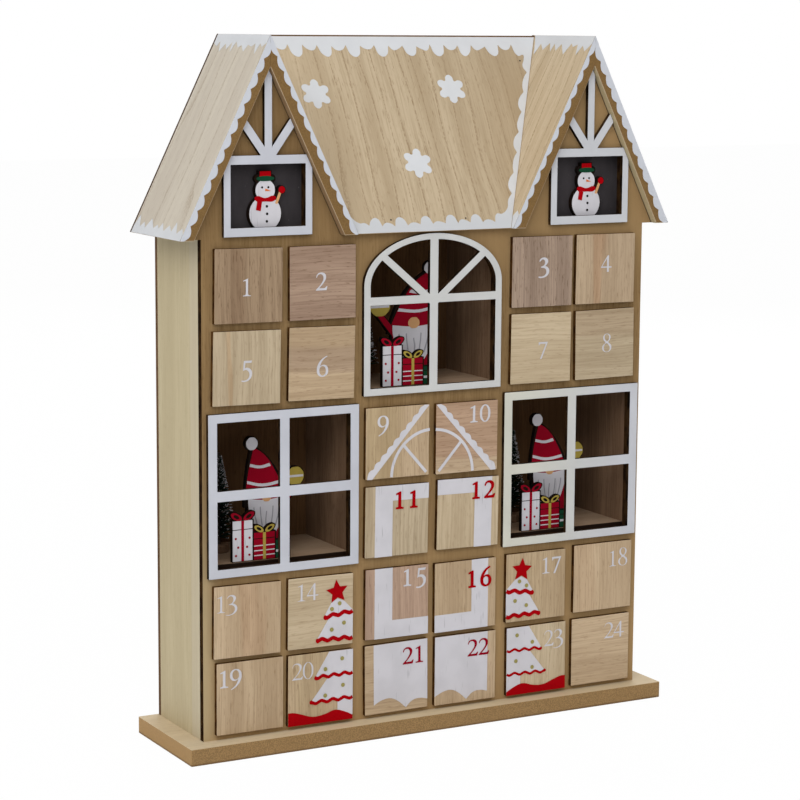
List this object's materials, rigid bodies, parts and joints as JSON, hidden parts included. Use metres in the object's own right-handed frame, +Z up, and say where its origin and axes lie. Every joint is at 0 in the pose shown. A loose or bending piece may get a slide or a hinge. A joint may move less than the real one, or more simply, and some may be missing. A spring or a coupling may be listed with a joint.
{
  "type": "wooden advent calendar",
  "caption": "Wooden advent calendar shaped as a twin-gabled house: square drawers that slide out of the front, white framed windows with small scenes behind them, on a flat base board.",
  "frame": {"origin": "centre of the base board's underside, which is also the middle of the bounding box's bottom", "axes": "+Z up, the front with the drawers faces -Y, +X to the right as seen from the front"},
  "size_m": [0.331, 0.079, 0.418],
  "materials": {
    "fibreboard": "raw board edge, veneered on top",
    "pale_veneer": "pale veneer",
    "roof_veneer": "veneer with painted snow",
    "stained_panel": "brown stain, matt",
    "white_frame": "white paint, matt",
    "dark_backing": "dark grey paint",
    "painted_cutout": "painted plywood with dark edges",
    "painted_gifts": "painted plywood with dark edges",
    "bristle": "green bristle with white tips",
    "inner_board": "plain board",
    "drawer_board": "veneer, matt"
  },
  "bodies": {
    "house": {"base_board": "fibreboard", "house_floor": "inner_board", "attic_floor": "inner_board", "left_wall": "pale_veneer", "right_wall": "pale_veneer", "left_upright": "inner_board", "right_upright": "inner_board", "side_room_shelves": "inner_board", "side_drawer_shelves": "inner_board", "centre_shelves": "inner_board", "drawer_dividers": "inner_board", "front_panel": "stained_panel", "back_panel": "inner_board", "left_roof_outer": "roof_veneer", "left_roof_inner": "roof_veneer", "right_roof_outer": "roof_veneer", "right_roof_inner": "roof_veneer", "main_roof": "roof_veneer", "left_window_frame": "white_frame", "right_window_frame": "white_frame", "arched_window_frame": "white_frame", "left_attic_frame": "white_frame", "right_attic_frame": "white_frame", "left_attic_backing": "dark_backing", "right_attic_backing": "dark_backing", "left_attic_figure": "painted_cutout", "right_attic_figure": "painted_cutout", "left_room_figure": "painted_cutout", "left_room_gifts": "painted_gifts", "left_room_tree": "bristle", "arched_room_figure": "painted_cutout", "arched_room_gifts": "painted_gifts", "arched_room_tree": "bristle", "right_room_figure": "painted_cutout", "right_room_gifts": "painted_gifts", "right_room_tree": "bristle"},
    "drawer_01": {"drawer_01": "drawer_board"},
    "drawer_02": {"drawer_02": "drawer_board"},
    "drawer_03": {"drawer_03": "drawer_board"},
    "drawer_04": {"drawer_04": "drawer_board"},
    "drawer_05": {"drawer_05": "drawer_board"},
    "drawer_06": {"drawer_06": "drawer_board"},
    "drawer_07": {"drawer_07": "drawer_board"},
    "drawer_08": {"drawer_08": "drawer_board"},
    "drawer_09": {"drawer_09": "drawer_board"},
    "drawer_10": {"drawer_10": "drawer_board"},
    "drawer_11": {"drawer_11": "drawer_board"},
    "drawer_12": {"drawer_12": "drawer_board"},
    "drawer_13": {"drawer_13": "drawer_board"},
    "drawer_14": {"drawer_14": "drawer_board"},
    "drawer_15": {"drawer_15": "drawer_board"},
    "drawer_16": {"drawer_16": "drawer_board"},
    "drawer_17": {"drawer_17": "drawer_board"},
    "drawer_18": {"drawer_18": "drawer_board"},
    "drawer_19": {"drawer_19": "drawer_board"},
    "drawer_20": {"drawer_20": "drawer_board"},
    "drawer_21": {"drawer_21": "drawer_board"},
    "drawer_22": {"drawer_22": "drawer_board"},
    "drawer_23": {"drawer_23": "drawer_board"},
    "drawer_24": {"drawer_24": "drawer_board"}
  },
  "joints": [
    {"name": "drawer_01_slide", "type": "slide", "parent": "house", "child": "drawer_01", "axis": [0, -1, 0], "range_m": [0, 0.048]},
    {"name": "drawer_02_slide", "type": "slide", "parent": "house", "child": "drawer_02", "axis": [0, -1, 0], "range_m": [0, 0.048]},
    {"name": "drawer_03_slide", "type": "slide", "parent": "house", "child": "drawer_03", "axis": [0, -1, 0], "range_m": [0, 0.048]},
    {"name": "drawer_04_slide", "type": "slide", "parent": "house", "child": "drawer_04", "axis": [0, -1, 0], "range_m": [0, 0.048]},
    {"name": "drawer_05_slide", "type": "slide", "parent": "house", "child": "drawer_05", "axis": [0, -1, 0], "range_m": [0, 0.048]},
    {"name": "drawer_06_slide", "type": "slide", "parent": "house", "child": "drawer_06", "axis": [0, -1, 0], "range_m": [0, 0.048]},
    {"name": "drawer_07_slide", "type": "slide", "parent": "house", "child": "drawer_07", "axis": [0, -1, 0], "range_m": [0, 0.048]},
    {"name": "drawer_08_slide", "type": "slide", "parent": "house", "child": "drawer_08", "axis": [0, -1, 0], "range_m": [0, 0.048]},
    {"name": "drawer_09_slide", "type": "slide", "parent": "house", "child": "drawer_09", "axis": [0, -1, 0], "range_m": [0, 0.048]},
    {"name": "drawer_10_slide", "type": "slide", "parent": "house", "child": "drawer_10", "axis": [0, -1, 0], "range_m": [0, 0.048]},
    {"name": "drawer_11_slide", "type": "slide", "parent": "house", "child": "drawer_11", "axis": [0, -1, 0], "range_m": [0, 0.048]},
    {"name": "drawer_12_slide", "type": "slide", "parent": "house", "child": "drawer_12", "axis": [0, -1, 0], "range_m": [0, 0.048]},
    {"name": "drawer_13_slide", "type": "slide", "parent": "house", "child": "drawer_13", "axis": [0, -1, 0], "range_m": [0, 0.048]},
    {"name": "drawer_14_slide", "type": "slide", "parent": "house", "child": "drawer_14", "axis": [0, -1, 0], "range_m": [0, 0.048]},
    {"name": "drawer_15_slide", "type": "slide", "parent": "house", "child": "drawer_15", "axis": [0, -1, 0], "range_m": [0, 0.048]},
    {"name": "drawer_16_slide", "type": "slide", "parent": "house", "child": "drawer_16", "axis": [0, -1, 0], "range_m": [0, 0.048]},
    {"name": "drawer_17_slide", "type": "slide", "parent": "house", "child": "drawer_17", "axis": [0, -1, 0], "range_m": [0, 0.048]},
    {"name": "drawer_18_slide", "type": "slide", "parent": "house", "child": "drawer_18", "axis": [0, -1, 0], "range_m": [0, 0.048]},
    {"name": "drawer_19_slide", "type": "slide", "parent": "house", "child": "drawer_19", "axis": [0, -1, 0], "range_m": [0, 0.048]},
    {"name": "drawer_20_slide", "type": "slide", "parent": "house", "child": "drawer_20", "axis": [0, -1, 0], "range_m": [0, 0.048]},
    {"name": "drawer_21_slide", "type": "slide", "parent": "house", "child": "drawer_21", "axis": [0, -1, 0], "range_m": [0, 0.048]},
    {"name": "drawer_22_slide", "type": "slide", "parent": "house", "child": "drawer_22", "axis": [0, -1, 0], "range_m": [0, 0.048]},
    {"name": "drawer_23_slide", "type": "slide", "parent": "house", "child": "drawer_23", "axis": [0, -1, 0], "range_m": [0, 0.048]},
    {"name": "drawer_24_slide", "type": "slide", "parent": "house", "child": "drawer_24", "axis": [0, -1, 0], "range_m": [0, 0.048]}
  ]
}
